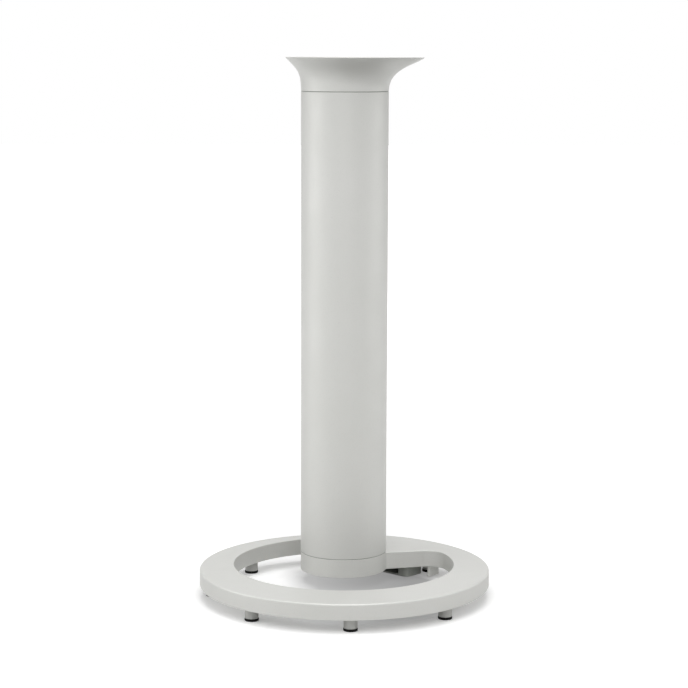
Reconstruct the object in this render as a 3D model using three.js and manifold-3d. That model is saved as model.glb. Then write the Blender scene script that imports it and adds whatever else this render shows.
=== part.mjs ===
// A speaker stand. A ring-shaped foot plate carries a round column near its back, and a flared cradle on the
// column holds the speaker. The plate's crescent opening leaves a solid fan behind the column's right side.
//
// Units are millimetres and +Z is up. The origin is the centre of the foot plate's rim, on the floor. The
// column stands on the +Y side, and the fan and the cable box below it point half way between +X and +Y.

import * as THREE from 'three';
import { mergeVertices } from 'three/addons/utils/BufferGeometryUtils.js';
import Module from 'manifold-3d';

const wasm = await Module();
wasm.setup();

// ---- driving dimensions -------------------------------------------------------------------------------------

// Foot plate
const plateRadius = 175;
const plateRimThickness = 19.4;
const plateCrown = 2.5; // the plate's middle is this much thicker than its rim
const plateTopRounding = 2;
const plateBottomBreak = 0.8;
const openingRadius = 133.9;
const openingTail = 26.1; // width of the crescent's narrow end, behind the column
const openingRimFillet = 22.5; // where the fan's front wall runs into the opening's round wall
const openingTailFillet = 9; // the same at the fan's hidden wall
const fanRootFillet = 4; // where the fan's walls leave the boss below the column
const fanTurn = THREE.MathUtils.degToRad(45); // direction of the fan's middle line, from +X
const fanHalfAngle = THREE.MathUtils.degToRad(31.9);
const fanHalfWidth = 20.4; // from the fan's middle line, beside the column's axis, square to the wall

// Column
const columnRadius = 53.1;
const columnSetback = 51.2; // from the plate's rim to the back of the column
const columnDrift = 2; // from the plate's middle line to the column's axis, towards the fan
const tubeLength = 566.6;
const tubeWall = 3.2;
const bossRise = 3.2; // the boss's flat top above the height of the plate's rim
const seamGap = 0.8; // dark line at each end of the tube
const seamDepth = 1.4;

// End plugs of the tube
const plugWeb = 7;
const plugSkirt = 26;
const plugSkirtWall = 5;
const cableHoleRadius = 11;
const cableHoleOffset = 27; // from the column's axis, towards the fan

// Tie rod that clamps the plate, the tube and the cradle
const rodRadius = 4;
const nutAcross = 13;
const nutHeight = 6.5;
const washerRadius = 11;
const washerThickness = 1.6;
const nutPocketRadius = 13;
const nutPocketDepth = 11;
const rodTail = 2; // thread that stands out of each nut

// Dowels that keep the cradle and the plate from turning
const dowelRadius = 2.5;
const dowelLength = 14;
const dowelCircle = 38;

// Cradle: a flare that grows from the tube's round section to a rim pushed out along its long direction
const cradleHeight = 40.4;
const flareLong = 53; // overhang of the rim on the long side
const flareShort = 22.8; // on the opposite side
const flareSide = 21.5; // on the two sides between
const flareTurn = THREE.MathUtils.degToRad(-45); // direction of the long side, from +X
// Pull points of the flare's lines, as shares of the overhang and of the cradle's height
const longFlarePull = [[0, 0.705], [0.908, 0.816]];
const shortFlarePull = [[0, 0.616], [0.385, 0.668]]; // the other three sides too
const rimLip = 1.3; // width of the rim between the flare and the dish
const dishDepth = 16;
const dishWall = 6; // the flare's wall at the dish's floor
const padThickness = 3;
const padMargin = 4; // the pad stops this far below the rim

// Feet
const footCount = 8;
const footInset = 16; // from the plate's rim to a foot's axis
const footHeight = 15.4;
const footRadius = 8;
const footBreak = 0.7;
const footBore = 5.3;
const footLedge = 6; // depth of the bore that takes the screw's head
const treadRadius = 8.4;
const treadThickness = 3;
const treadNub = 2;
const footScrewRadius = 2.5;
const footScrewHead = 4.4;
const footScrewHeadHeight = 3;
const footScrewReach = 9; // thread inside the plate

// Cable box below the fan
const boxStart = 60; // from the column's axis to its near wall, along the fan
const boxLength = 32;
const boxFrontReach = 52.6; // from the fan's middle line to the box's front side
const boxBackReach = 36; // and to its side near the rim
const boxHeight = 14.4;
const boxWall = 2.4;
const boxCorner = 6;
const boxMouth = 29; // width of the cable mouth in the near wall
const boxMouthInset = 13.8; // from the box's front side to the mouth
const boxMouthHeight = 8;
const boxLug = 5.5; // radius of the screw posts
const boxScrewRadius = 1.75;
const boxScrewHead = 3.4;
const boxScrewHeadHeight = 2;
const boxScrewReach = 8;

// Cable clip beside the box: a thin wall that hangs below the fan, and a flange that takes its screw
const clipStart = 80; // from the column's axis to the wall's near end, along the fan
const clipLength = 20;
const clipOffset = 72.5; // from the fan's middle line to the wall's outer face
const clipWall = 4;
const clipNose = 1.9;
const clipHeight = 13.4;
const clipReach = 14; // from the wall's outer face to the flange's free edge
const clipFlange = 3;

// Fits and facets
const fit = 0.3; // gap around anything that sits in a hole
const cutClear = 5; // a cutter runs this far past an open face
const facet = THREE.MathUtils.degToRad(5); // largest angle of one flat on a wide curve
const mediumFacet = THREE.MathUtils.degToRad(10); // on a fillet, or on a curve hidden in the tube
const fineFacet = THREE.MathUtils.degToRad(30); // and on a small one
const crownSteps = 3; // cones of the plate's crown
const cradleSides = 60;
const flareSteps = 8;
const dishSteps = 5;
const padSteps = 4;

// ---- sizes that follow --------------------------------------------------------------------------------------

const columnOffset = plateRadius - columnSetback - columnRadius; // from the rim's centre back to the axis
const openingOffset = columnOffset + columnRadius + openingTail - openingRadius; // and to the opening's centre
const footCircle = plateRadius - footInset;
const plateBottom = footHeight;
const plateRimTop = plateBottom + plateRimThickness;
const bossTop = plateRimTop + bossRise;
const tubeBottom = bossTop + seamGap;
const tubeTop = tubeBottom + tubeLength;
const cradleBottom = tubeTop + seamGap;
const rimTop = cradleBottom + cradleHeight;
const dishFloor = rimTop - dishDepth;
const tubeBore = columnRadius - tubeWall;
const axis = new THREE.Vector2(columnDrift, columnOffset);
const fanDirection = new THREE.Vector2(Math.cos(fanTurn), Math.sin(fanTurn));
const fanSide = new THREE.Vector2(Math.sin(fanTurn), -Math.cos(fanTurn)); // towards the front wall of the fan
const cableHole = axis.clone().addScaledVector(fanDirection, cableHoleOffset);

// ---- shape helpers ------------------------------------------------------------------------------------------

// Turns a closed three.js geometry into a solid, with shared corners merged and its faces pointing out.
function solid(geometry) {
  const bare = new THREE.BufferGeometry();
  bare.setAttribute('position', geometry.attributes.position);
  if (geometry.index) bare.setIndex(geometry.index);
  const merged = mergeVertices(bare, 1e-4);
  const corner = merged.attributes.position;
  const index = merged.index.array;
  const point = (i) => new THREE.Vector3().fromBufferAttribute(corner, i);
  const kept = [];
  let volume = 0;
  for (let i = 0; i < index.length; i += 3) {
    const [a, b, c] = [index[i], index[i + 1], index[i + 2]];
    if (a === b || b === c || c === a) continue;
    kept.push(a, b, c);
    volume += point(a).dot(point(b).cross(point(c)));
  }
  if (volume < 0) kept.reverse();
  return new wasm.Manifold(new wasm.Mesh({
    numProp: 3,
    vertProperties: Float32Array.from(corner.array),
    triVerts: Uint32Array.from(kept),
  }));
}

// Gives a solid back as a geometry that a mesh can show.
function geometryOf(body) {
  const mesh = body.getMesh();
  const geometry = new THREE.BufferGeometry();
  geometry.setAttribute('position', new THREE.BufferAttribute(mesh.vertProperties, 3));
  geometry.setIndex(new THREE.BufferAttribute(mesh.triVerts, 1));
  geometry.computeVertexNormals();
  return geometry;
}

// Points on an arc, with no flat wider than the given angle. The first and the last point are exact.
function arc(center, radius, from, to, step = fineFacet) {
  const count = Math.max(2, Math.ceil(Math.abs(to - from) / step));
  const points = [];
  for (let i = 0; i <= count; i += 1) {
    const angle = from + ((to - from) * i) / count;
    points.push(new THREE.Vector2(
      center.x + radius * Math.cos(angle),
      center.y + radius * Math.sin(angle),
    ));
  }
  return points;
}

// Revolves a profile of [radius, height] points about a standing axis. The profile runs from axis to axis, or
// closes on itself.
function revolve(profile, at = new THREE.Vector2(), step = fineFacet) {
  const points = profile.map(([r, z]) => new THREE.Vector2(r, z));
  const closed = profile[0][0] > 0;
  if (closed) points.push(points[0].clone());
  const lathe = new THREE.LatheGeometry(points, Math.ceil((2 * Math.PI) / step));
  lathe.rotateX(Math.PI / 2);
  lathe.translate(at.x, at.y, 0);
  return solid(lathe);
}

// A standing round bar from one height to another.
function bar(radius, bottom, top, at = new THREE.Vector2(), step = fineFacet) {
  return revolve([[0, bottom], [radius, bottom], [radius, top], [0, top]], at, step);
}

// Raises a flat outline from one height to another.
function raise(points, bottom, top) {
  const geometry = new THREE.ExtrudeGeometry(new THREE.Shape(points), {
    depth: top - bottom,
    bevelEnabled: false,
  });
  geometry.translate(0, 0, bottom);
  return solid(geometry);
}

// A rectangle with round corners, counter-clockwise, from its corners' extents.
function roundRectangle(left, right, front, back, radius) {
  const quarter = Math.PI / 2;
  const at = (x, y) => new THREE.Vector2(x, y);
  return [
    ...arc(at(right - radius, front + radius), radius, -quarter, 0),
    ...arc(at(right - radius, back - radius), radius, 0, quarter),
    ...arc(at(left + radius, back - radius), radius, quarter, 2 * quarter),
    ...arc(at(left + radius, front + radius), radius, 2 * quarter, 3 * quarter),
  ];
}

// A hexagonal nut with a round hole, standing on a height.
function hexNut(across, hole, bottom, height, at) {
  const corner = across / Math.sqrt(3);
  const outline = arc(new THREE.Vector2(), corner, 0, 2 * Math.PI, Math.PI / 3).slice(0, -1);
  const shape = new THREE.Shape(outline);
  shape.holes.push(new THREE.Path(arc(new THREE.Vector2(), hole, 0, 2 * Math.PI).slice(0, -1)));
  const geometry = new THREE.ExtrudeGeometry(shape, { depth: height, bevelEnabled: false });
  geometry.translate(at.x, at.y, bottom);
  return solid(geometry);
}

// A cap screw: its head at the bottom, its shank up to the given reach.
function screw(shankRadius, headRadius, headBottom, headHeight, top) {
  return revolve([
    [0, headBottom],
    [headRadius, headBottom],
    [headRadius, headBottom + headHeight],
    [shankRadius, headBottom + headHeight],
    [shankRadius, top],
    [0, top],
  ]);
}

// ---- foot plate ---------------------------------------------------------------------------------------------

// Height of the plate's crowned top at a distance from the rim's centre.
function plateTopAt(radius) {
  return plateRimTop + plateCrown * (1 - (radius / plateRadius) ** 2);
}

function plateDisc() {
  const rounding = arc(
    new THREE.Vector2(plateRadius - plateTopRounding, plateRimTop - plateTopRounding),
    plateTopRounding,
    0,
    Math.PI / 2,
  );
  const crown = [];
  for (let i = 1; i <= crownSteps; i += 1) {
    const radius = (plateRadius - plateTopRounding) * (1 - i / crownSteps);
    crown.push([radius, plateTopAt(radius)]);
  }
  return revolve([
    [0, plateBottom],
    [plateRadius - plateBottomBreak, plateBottom],
    [plateRadius, plateBottom + plateBottomBreak],
    ...rounding.map((p) => [p.x, p.y]),
    ...crown,
  ], new THREE.Vector2(), facet);
}

// One straight wall of the fan, and the fillets at its two ends. `side` points from the fan into the opening.
function fanWall(side, rimFillet) {
  const turn = side.dot(fanSide) > 0 ? -1 : 1;
  const along = fanDirection.clone().rotateAround(new THREE.Vector2(), turn * fanHalfAngle);
  const out = along.clone().rotateAround(new THREE.Vector2(), (turn * Math.PI) / 2);
  const start = axis.clone().addScaledVector(out, fanHalfWidth);
  const opening = new THREE.Vector2(0, openingOffset);
  // The centre of a fillet lies its own radius off the wall, and at a known distance from a circle's centre.
  const filletCenter = (radius, circle, distance) => {
    const base = start.clone().addScaledVector(out, radius);
    const rel = base.clone().sub(circle);
    const half = rel.dot(along);
    const travel = -half + Math.sqrt(half * half - rel.lengthSq() + distance * distance);
    return base.addScaledVector(along, travel);
  };
  const rim = filletCenter(rimFillet, opening, openingRadius - rimFillet);
  const root = filletCenter(fanRootFillet, axis, columnRadius + fanRootFillet);
  return {
    rim,
    rimFillet,
    root,
    wallAngle: Math.atan2(-out.y, -out.x), // from a fillet's centre towards the wall
    openingAngle: Math.atan2(rim.y - opening.y, rim.x - opening.x),
    bossAngle: Math.atan2(root.y - axis.y, root.x - axis.x),
  };
}

// The crescent opening, counter-clockwise, starting on the front wall of the fan at its rim end.
function openingOutline() {
  const front = fanWall(fanSide, openingRimFillet);
  const tail = fanWall(fanSide.clone().negate(), openingTailFillet);
  const opening = new THREE.Vector2(0, openingOffset);
  const full = 2 * Math.PI;
  return [
    ...arc(front.rim, front.rimFillet, front.wallAngle, front.openingAngle, mediumFacet),
    ...arc(opening, openingRadius, front.openingAngle, tail.openingAngle - full, facet).slice(1, -1),
    ...arc(tail.rim, tail.rimFillet, tail.openingAngle, tail.wallAngle, mediumFacet),
    ...arc(tail.root, fanRootFillet, tail.wallAngle, tail.bossAngle - Math.PI),
    ...arc(axis, columnRadius, tail.bossAngle, front.bossAngle + full, facet).slice(1, -1),
    ...arc(front.root, fanRootFillet, front.bossAngle + Math.PI, front.wallAngle),
  ].reverse();
}

function footPlate() {
  const boss = bar(columnRadius, plateBottom, bossTop, axis, facet);
  let plate = plateDisc()
    .subtract(raise(openingOutline(), plateBottom - cutClear, bossTop + cutClear))
    .add(boss)
    .subtract(bar(rodRadius + fit, plateBottom - cutClear, bossTop + cutClear, axis))
    .subtract(bar(nutPocketRadius, plateBottom - cutClear, plateBottom + nutPocketDepth, axis))
    .subtract(bar(cableHoleRadius, plateBottom - cutClear, bossTop + cutClear, cableHole));
  for (const place of dowelPlaces()) {
    plate = plate.subtract(bar(dowelRadius + fit, bossTop - dowelLength / 2 - fit, bossTop + cutClear, place));
  }
  for (let i = 0; i < footCount; i += 1) {
    const top = plateBottom + footScrewReach + fit;
    plate = plate.subtract(bar(footScrewRadius + fit, plateBottom - cutClear, top, footPlace(i)));
  }
  for (const place of [...boxScrewSpots(), clipScrewSpot()].map((spot) => onFan(...spot))) {
    const top = plateBottom + boxScrewReach + fit;
    plate = plate.subtract(bar(boxScrewRadius + fit, plateBottom - cutClear, top, place));
  }
  return plate;
}

// ---- feet ---------------------------------------------------------------------------------------------------

function footPlace(i) {
  const angle = (i * 2 * Math.PI) / footCount - Math.PI / 2;
  return new THREE.Vector2(footCircle * Math.cos(angle), footCircle * Math.sin(angle));
}

function footPillar() {
  const bottom = treadThickness;
  const ledge = bottom + footLedge;
  return revolve([
    [footBore, bottom],
    [footRadius - footBreak, bottom],
    [footRadius, bottom + footBreak],
    [footRadius, footHeight],
    [footScrewRadius + fit, footHeight],
    [footScrewRadius + fit, ledge],
    [footBore, ledge],
  ]);
}

function footTread() {
  const nubRadius = footBore - fit;
  return revolve([
    [0, 0],
    [treadRadius - footBreak, 0],
    [treadRadius, footBreak],
    [treadRadius, treadThickness],
    [nubRadius, treadThickness],
    [nubRadius, treadThickness + treadNub],
    [0, treadThickness + treadNub],
  ]);
}

function footScrew() {
  const headBottom = treadThickness + footLedge - footScrewHeadHeight;
  return screw(footScrewRadius, footScrewHead, headBottom, footScrewHeadHeight, plateBottom + footScrewReach);
}

// ---- column -------------------------------------------------------------------------------------------------

function columnTube() {
  return revolve([
    [tubeBore, tubeBottom],
    [columnRadius, tubeBottom],
    [columnRadius, tubeTop],
    [tubeBore, tubeTop],
  ], axis, facet);
}

// A plug for one end of the tube: a flange that shows as the dark seam, a web, and a skirt inside the tube.
// `seat` is the height of the flange's outer face, and `inward` points into the tube.
function tubePlug(seat, inward) {
  const skirtRadius = tubeBore - fit;
  const z = (depth) => seat + inward * depth;
  const profile = [
    [rodRadius + fit, z(0)],
    [columnRadius - seamDepth, z(0)],
    [columnRadius - seamDepth, z(seamGap)],
    [skirtRadius, z(seamGap)],
    [skirtRadius, z(plugSkirt)],
    [skirtRadius - plugSkirtWall, z(plugSkirt)],
    [skirtRadius - plugSkirtWall, z(plugWeb)],
    [rodRadius + fit, z(plugWeb)],
  ];
  let plug = revolve(profile, axis, mediumFacet);
  const [low, high] = [z(0), z(plugWeb)].sort((a, b) => a - b);
  plug = plug.subtract(bar(cableHoleRadius, low - fit, high + fit, cableHole));
  for (const place of dowelPlaces()) {
    plug = plug.subtract(bar(dowelRadius + fit, low - fit, high + fit, place));
  }
  return plug;
}

function dowelPlaces() {
  return [1, -1].map((way) => axis.clone().addScaledVector(fanSide, way * dowelCircle));
}

function dowel(joint, place) {
  return bar(dowelRadius, joint - dowelLength / 2, joint + dowelLength / 2, place);
}

// ---- tie rod ------------------------------------------------------------------------------------------------

const lowerWasherTop = plateBottom + nutPocketDepth;
const lowerNutTop = lowerWasherTop - washerThickness;
const upperWasherBottom = dishFloor - nutPocketDepth;
const upperNutBottom = upperWasherBottom + washerThickness;

function tieRod() {
  return bar(rodRadius, lowerNutTop - nutHeight - rodTail, upperNutBottom + nutHeight + rodTail, axis);
}

function washer(bottom) {
  const hole = rodRadius + fit;
  const top = bottom + washerThickness;
  return revolve([[hole, bottom], [washerRadius, bottom], [washerRadius, top], [hole, top]], axis);
}

function rodNut(bottom) {
  return hexNut(nutAcross, rodRadius + fit, bottom, nutHeight, axis);
}

// ---- cradle -------------------------------------------------------------------------------------------------

// The flare's outline on its long side and on its other sides: how far it has grown at each height, both as
// shares of the rim's overhang and of the cradle's height.
function flareLine(pull) {
  const [first, second] = pull.map(([x, y]) => new THREE.Vector2(x, y));
  return new THREE.CubicBezierCurve(new THREE.Vector2(0, 0), first, second, new THREE.Vector2(1, 1));
}

const longLine = flareLine(longFlarePull);
const shortLine = flareLine(shortFlarePull);

// How far a flare line has grown at a share of the cradle's height.
function growth(line, share) {
  const halvings = 40;
  let [low, high] = [0, 1];
  for (let i = 0; i < halvings; i += 1) {
    const middle = (low + high) / 2;
    if (line.getPoint(middle).y < share) low = middle;
    else high = middle;
  }
  return line.getPoint(low).x;
}

// The cradle's section at a share of its height: an ellipse whose centre drifts towards the long side.
function section(share) {
  const long = flareLong * growth(longLine, share);
  const short = flareShort * growth(shortLine, share);
  const side = flareSide * growth(shortLine, share);
  return {
    a: columnRadius + (long + short) / 2,
    b: columnRadius + side,
    shift: (long - short) / 2,
    z: cradleBottom + cradleHeight * share,
  };
}

// The inside of the cradle at a height: the flare's section less its wall, which thins towards the rim.
function dishSection(z, inset) {
  const outer = section((z - cradleBottom) / cradleHeight);
  const depthShare = (rimTop - z) / dishDepth;
  const wall = rimLip + (dishWall - rimLip) * depthShare + inset;
  return { a: outer.a - wall, b: outer.b - wall, shift: outer.shift, z };
}

// The dish's sections between two heights, in even steps.
function dishSections(bottom, top, inset, steps) {
  const sections = [];
  for (let i = 0; i <= steps; i += 1) {
    sections.push(dishSection(bottom + ((top - bottom) * i) / steps, inset));
  }
  return sections;
}

// Joins a stack of elliptical sections, from the first to the last, into one closed skin.
function loft(sections, sides) {
  const position = [];
  const index = [];
  const turn = (x, y) => [
    axis.x + x * Math.cos(flareTurn) - y * Math.sin(flareTurn),
    axis.y + x * Math.sin(flareTurn) + y * Math.cos(flareTurn),
  ];
  for (const { a, b, shift, z } of sections) {
    for (let i = 0; i < sides; i += 1) {
      const angle = (2 * Math.PI * i) / sides;
      position.push(...turn(shift + a * Math.cos(angle), b * Math.sin(angle)), z);
    }
  }
  const first = sections[0];
  const last = sections[sections.length - 1];
  position.push(...turn(first.shift, 0), first.z, ...turn(last.shift, 0), last.z);
  const bottom = sections.length * sides;
  for (let i = 0; i < sides; i += 1) {
    const next = (i + 1) % sides;
    index.push(bottom, next, i);
    for (let row = 0; row + 1 < sections.length; row += 1) {
      const [here, up] = [row * sides, (row + 1) * sides];
      index.push(here + i, here + next, up + next, here + i, up + next, up + i);
    }
    const top = (sections.length - 1) * sides;
    index.push(bottom + 1, top + i, top + next);
  }
  const geometry = new THREE.BufferGeometry();
  geometry.setAttribute('position', new THREE.Float32BufferAttribute(position, 3));
  geometry.setIndex(index);
  return solid(geometry);
}

function cradle() {
  const flare = [];
  for (let i = 0; i <= flareSteps; i += 1) {
    flare.push(section(Math.sin(((i / flareSteps) * Math.PI) / 2)));
  }
  const dish = dishSections(dishFloor, rimTop, 0, dishSteps);
  dish.push({ ...dish[dish.length - 1], z: rimTop + cutClear });
  let body = loft(flare, cradleSides)
    .subtract(loft(dish, cradleSides))
    .subtract(bar(rodRadius + fit, cradleBottom - cutClear, rimTop, axis))
    .subtract(bar(nutPocketRadius, upperWasherBottom, rimTop, axis))
    .subtract(bar(cableHoleRadius, cradleBottom - cutClear, rimTop, cableHole));
  for (const place of dowelPlaces()) {
    const top = cradleBottom + dowelLength / 2 + fit;
    body = body.subtract(bar(dowelRadius + fit, cradleBottom - cutClear, top, place));
  }
  return body;
}

// The soft liner of the dish. It follows the floor and the wall, and stops short of the rim.
function cradlePad() {
  const top = rimTop - padMargin;
  const under = dishSections(dishFloor, top, fit, padSteps);
  const over = dishSections(dishFloor + padThickness, top, fit + padThickness, padSteps);
  return loft([...under, ...over.reverse()], cradleSides)
    .subtract(bar(cableHoleRadius, dishFloor - cutClear, rimTop, cableHole));
}

// ---- cable box and clip -------------------------------------------------------------------------------------

// Turns a point measured along the fan, and across it towards its hidden side, into the plate's frame.
function onFan(along, across) {
  return axis.clone().addScaledVector(fanDirection, along).addScaledVector(fanSide, -across);
}

// Moves a solid drawn with X along the fan and Y towards its hidden side into the plate's frame.
function toFan(body) {
  return body.rotate([0, 0, THREE.MathUtils.radToDeg(fanTurn)]).translate([axis.x, axis.y, 0]);
}

function boxScrewSpots() {
  const inset = boxLug + boxWall / 2;
  const ends = [boxStart + inset, boxStart + boxLength - inset];
  const sides = [boxBackReach - inset, inset - boxFrontReach];
  return ends.flatMap((along) => sides.map((across) => [along, across]));
}

function cableBox() {
  const floor = plateBottom - boxHeight;
  const [start, end] = [boxStart, boxStart + boxLength];
  const [front, back] = [-boxFrontReach, boxBackReach];
  const outer = raise(roundRectangle(start, end, front, back, boxCorner), floor, plateBottom);
  const inner = raise(
    roundRectangle(start + boxWall, end - boxWall, front + boxWall, back - boxWall, boxCorner - boxWall),
    floor + boxWall,
    plateBottom + cutClear,
  );
  const mouthEnd = front + boxMouthInset + boxMouth;
  const mouth = raise(
    roundRectangle(start - cutClear, start + boxWall + cutClear, front + boxMouthInset, mouthEnd, boxWall / 2),
    floor + boxWall,
    floor + boxWall + boxMouthHeight,
  );
  const spots = boxScrewSpots().map(([along, across]) => new THREE.Vector2(along, across));
  let box = outer.subtract(inner).subtract(mouth);
  for (const spot of spots) box = box.add(bar(boxLug, floor + boxWall / 2, plateBottom, spot));
  for (const spot of spots) {
    box = box
      .subtract(bar(boxScrewRadius + fit, floor - cutClear, plateBottom + cutClear, spot))
      .subtract(bar(boxScrewHead + fit, floor - cutClear, floor + boxScrewHeadHeight + fit, spot));
  }
  return toFan(box);
}

function boxScrew() {
  const headBottom = plateBottom - boxHeight + fit;
  return screw(boxScrewRadius, boxScrewHead, headBottom, boxScrewHeadHeight, plateBottom + boxScrewReach);
}

// The clip's screw, as a point along the fan and across it, in the middle of the flange beside the wall.
function clipScrewSpot() {
  return [clipStart + clipLength / 2, (clipWall + clipReach) / 2 - clipOffset];
}

function cableClip() {
  const end = clipStart + clipLength;
  const [outer, inner, free] = [-clipOffset, clipWall - clipOffset, clipReach - clipOffset];
  const wallOutline = roundRectangle(clipStart, end, outer, inner, clipNose);
  const flangeOutline = roundRectangle(clipStart, end, outer, free, clipNose);
  const wall = raise(wallOutline, plateBottom - clipHeight, plateBottom);
  const flange = raise(flangeOutline, plateBottom - clipFlange, plateBottom);
  const hole = bar(
    boxScrewRadius + fit,
    plateBottom - clipFlange - cutClear,
    plateBottom + cutClear,
    new THREE.Vector2(...clipScrewSpot()),
  );
  return toFan(wall.add(flange).subtract(hole));
}

function clipScrew() {
  const headBottom = plateBottom - clipFlange - boxScrewHeadHeight;
  return screw(boxScrewRadius, boxScrewHead, headBottom, boxScrewHeadHeight, plateBottom + boxScrewReach);
}

// ---- assembly -----------------------------------------------------------------------------------------------

const paint = { color: 0xd8d9d4, roughness: 0.55, metalness: 0.1 };
const steel = { color: 0x9a9b98, roughness: 0.35, metalness: 0.9 };
const greyPlastic = { color: 0x8b8e89, roughness: 0.6, metalness: 0 };
const rubber = { color: 0x161616, roughness: 0.85, metalness: 0 };
const felt = { color: 0x4b4d4b, roughness: 0.95, metalness: 0 };

const stand = new THREE.Group();

function place(name, body, look, at = new THREE.Vector2()) {
  const mesh = new THREE.Mesh(geometryOf(body), new THREE.MeshStandardMaterial(look));
  mesh.name = name;
  mesh.position.set(at.x, at.y, 0);
  stand.add(mesh);
}

place('foot_plate', footPlate(), paint);
place('column_tube', columnTube(), paint);
place('lower_tube_plug', tubePlug(bossTop, 1), greyPlastic);
place('upper_tube_plug', tubePlug(cradleBottom, -1), greyPlastic);
place('cradle', cradle(), paint);
place('cradle_pad', cradlePad(), felt);
place('tie_rod', tieRod(), steel);
place('lower_rod_washer', washer(lowerNutTop), steel);
place('lower_rod_nut', rodNut(lowerNutTop - nutHeight), steel);
place('upper_rod_washer', washer(upperWasherBottom), steel);
place('upper_rod_nut', rodNut(upperNutBottom), steel);
dowelPlaces().forEach((spot, i) => {
  place(`lower_dowel_${i + 1}`, dowel(bossTop, spot), steel);
  place(`upper_dowel_${i + 1}`, dowel(cradleBottom, spot), steel);
});
for (let i = 0; i < footCount; i += 1) {
  place(`foot_pillar_${i + 1}`, footPillar(), paint, footPlace(i));
  place(`foot_tread_${i + 1}`, footTread(), rubber, footPlace(i));
  place(`foot_screw_${i + 1}`, footScrew(), steel, footPlace(i));
}
place('cable_box', cableBox(), greyPlastic);
boxScrewSpots().forEach((spot, i) => {
  place(`box_screw_${i + 1}`, boxScrew(), steel, onFan(...spot));
});
place('cable_clip', cableClip(), paint);
place('clip_screw', clipScrew(), steel, onFan(...clipScrewSpot()));

export default stand;
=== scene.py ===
# A speaker stand: fine meshes, finishes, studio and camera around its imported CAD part.
# The stand's sizes are millimetres until a mesh is made. The studio's are metres.
# +Z is up, and the column stands on the +Y side of the foot plate.

import math

import bmesh
import bpy
from mathutils import Matrix, Vector
from mathutils.geometry import delaunay_2d_cdt

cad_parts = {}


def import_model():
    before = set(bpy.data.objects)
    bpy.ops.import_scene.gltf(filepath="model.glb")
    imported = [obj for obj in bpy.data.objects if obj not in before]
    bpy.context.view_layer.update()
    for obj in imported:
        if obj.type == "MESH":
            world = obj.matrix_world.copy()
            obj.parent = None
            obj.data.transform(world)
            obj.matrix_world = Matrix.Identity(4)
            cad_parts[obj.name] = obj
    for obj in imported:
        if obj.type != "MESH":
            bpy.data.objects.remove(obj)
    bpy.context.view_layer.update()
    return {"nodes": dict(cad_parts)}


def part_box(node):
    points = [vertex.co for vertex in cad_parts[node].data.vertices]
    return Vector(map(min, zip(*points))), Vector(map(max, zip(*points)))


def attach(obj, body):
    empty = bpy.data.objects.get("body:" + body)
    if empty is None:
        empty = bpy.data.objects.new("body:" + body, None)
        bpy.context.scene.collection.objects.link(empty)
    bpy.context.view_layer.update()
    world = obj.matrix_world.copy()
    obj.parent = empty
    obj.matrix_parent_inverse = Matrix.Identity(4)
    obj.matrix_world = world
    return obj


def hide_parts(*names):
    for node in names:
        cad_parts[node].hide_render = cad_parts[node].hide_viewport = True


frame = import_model()

MM = 0.001
# Metres. Corners closer than the first become one, and edges shorter than the second go.
SAME_SPOT = 2e-6
NO_LENGTH = 1e-7


def in_mm(node):
    """Lowest and highest corner of a CAD node, in millimetres."""
    low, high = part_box(node)
    return low / MM, high / MM


# ---- sizes, from the CAD part where it has them ------------------------------------------------

plate_low, plate_high = in_mm("foot_plate")
tube_low, tube_high = in_mm("column_tube")
cradle_low, cradle_high = in_mm("cradle")

PLATE_RADIUS = plate_high.x
PLATE_BOTTOM = plate_low.z
BOSS_TOP = plate_high.z
RIM_THICKNESS = 19.4
PLATE_CROWN = 2.5
RIM_TOP = PLATE_BOTTOM + RIM_THICKNESS
TOP_ROUNDING = 2.2
EDGE_BREAK = 0.8

COLUMN_RADIUS = (tube_high.x - tube_low.x) / 2
AXIS = ((tube_low + tube_high) / 2).xy
TUBE_WALL = 3.2
TUBE_BREAK = 0.4
SEAM_DEPTH = 0.5
SEAM_GAP = tube_low.z - BOSS_TOP

OPENING_RADIUS = 133.9
OPENING_OFFSET = 16.0
RIM_FILLET = 22.5
TAIL_FILLET = 9.0
ROOT_FILLET = 4.0
FAN_TURN = math.radians(45)
FAN_HALF_ANGLE = math.radians(31.9)
FAN_HALF_WIDTH = 20.4
FAN_DIRECTION = Vector((math.cos(FAN_TURN), math.sin(FAN_TURN)))
FAN_SIDE = Vector((math.sin(FAN_TURN), -math.cos(FAN_TURN)))
CABLE_HOLE = AXIS + 27.0 * FAN_DIRECTION
CABLE_HOLE_RADIUS = 11.0

ROD_RADIUS = 4.0
NUT_POCKET_RADIUS = 13.0
NUT_POCKET_DEPTH = 11.0
FIT = 0.3
# How far a cutter reaches past a face that it opens.
CUT_PAST = 5.0

FLARE_TURN = math.radians(-45)
FLARE_LONG = 53.0
FLARE_SHORT = 22.8
FLARE_SIDE = 21.5
# The two inner handles of each flare line, as shares of its overhang and height.
LONG_PULL = ((0, 0.705), (0.908, 0.816))
SHORT_PULL = ((0, 0.616), (0.385, 0.668))
CRADLE_BOTTOM = cradle_low.z
RIM_PLANE = cradle_high.z
CRADLE_HEIGHT = RIM_PLANE - CRADLE_BOTTOM
DISH_DEPTH = 16.0
DISH_WALL = 6.0
RIM_LIP = 1.3
RIM_NOSE = 0.3
DISH_FLOOR = RIM_PLANE - DISH_DEPTH
PAD_THICKNESS = 3.0
PAD_MARGIN = 4.0
PAD_CROWN = 0.5
PAD_GAP = 0.02

PILLAR_RADIUS = 8.0
PILLAR_HOLE_RADIUS = 2.8
TREAD_TOP = in_mm("foot_pillar_1")[0].z
TREAD_RADIUS = 8.4
TREAD_RECESS_RADIUS = 5.3
TREAD_RECESS_DEPTH = 6.0
TREAD_NUB_RADIUS = 5.0
TREAD_NUB_HEIGHT = 2.0
TREAD_GROOVES = (3.0, 5.4)
TREAD_GROOVE_DEPTH = 0.8


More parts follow.
